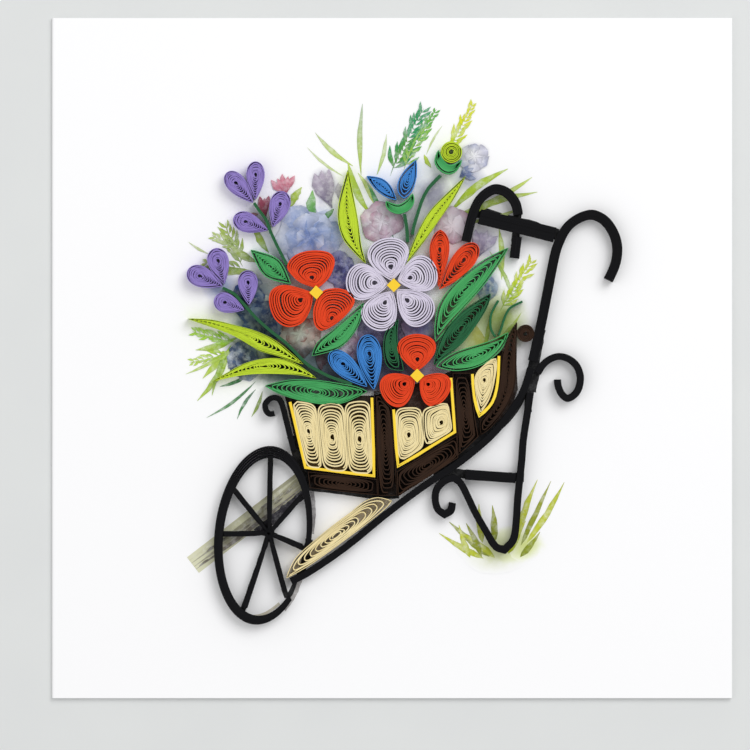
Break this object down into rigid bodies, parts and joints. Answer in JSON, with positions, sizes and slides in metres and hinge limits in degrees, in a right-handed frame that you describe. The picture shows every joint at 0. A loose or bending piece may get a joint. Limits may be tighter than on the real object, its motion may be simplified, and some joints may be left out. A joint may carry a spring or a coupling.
{
  "type": "quilled paper art card",
  "caption": "Quilled paper picture on a folded square white card: a black and cream wheelbarrow filled with coiled paper flowers in red, lilac, blue and violet, with green leaves.",
  "frame": {"origin": "middle of the card's back face, on the surface it lies on", "axes": "+X to the picture's right edge, +Y to its top edge, +Z out of the picture, from the card to the strips' free edges"},
  "size_m": [0.1524, 0.1524, 0.0047],
  "materials": {
    "card_white": "matt",
    "violet": "matt",
    "stem_green": "matt",
    "red": "matt",
    "lilac": "matt",
    "yellow": "matt",
    "blue": "matt",
    "lime": "matt",
    "mid_green": "matt",
    "dark_green": "matt",
    "cream": "matt",
    "brown": "matt",
    "black": "matt"
  },
  "bodies": {
    "root": {"blue_petals": "blue", "bud_calyx": "stem_green", "bud_coil": "lime", "bud_stem": "stem_green", "crossbar": "black", "curls": "black", "curved_side_coil": "brown", "dark_leaf_middle": "dark_green", "dark_leaf_right": "dark_green", "flower_squares": "yellow", "folded_card": "card_white", "front_coils": "cream", "front_frame": "yellow", "green_leaf_front": "mid_green", "green_leaf_left": "mid_green", "green_leaf_low_right": "mid_green", "green_leaf_middle": "mid_green", "green_leaf_right": "mid_green", "left_bar": "black", "left_handle": "black", "leg": "black", "leg_crossbar": "black", "lilac_petal_left": "lilac", "lilac_petal_low_left": "lilac", "lilac_petal_low_right": "lilac", "lilac_petal_right": "lilac", "lilac_petal_top": "lilac", "lime_leaf_right": "lime", "lime_leaf_tall": "lime", "lime_leaves_left": "lime", "main_rail": "black", "posts": "brown", "purple_petals_left": "violet", "purple_petals_low": "violet", "purple_petals_middle": "violet", "purple_petals_top": "violet", "rails": "brown", "rear_coil": "cream", "rear_frame": "yellow", "red_bud_petals": "red", "red_petal_low": "red", "red_petal_lower_left": "red", "red_petal_lower_right": "red", "red_petal_side": "red", "red_petal_top": "red", "red_petal_upper": "red", "right_handle": "black", "right_scroll": "black", "shaft_coil": "cream", "side_coils": "cream", "side_frame": "yellow", "stem_left_low": "stem_green", "stem_left_top": "stem_green", "tight_knob_coil": "brown", "tulip_calyx": "stem_green", "tulip_petals": "blue", "tulip_stem": "stem_green", "wheel_rim": "black", "wheel_spokes": "black"}
  },
  "joints": []
}
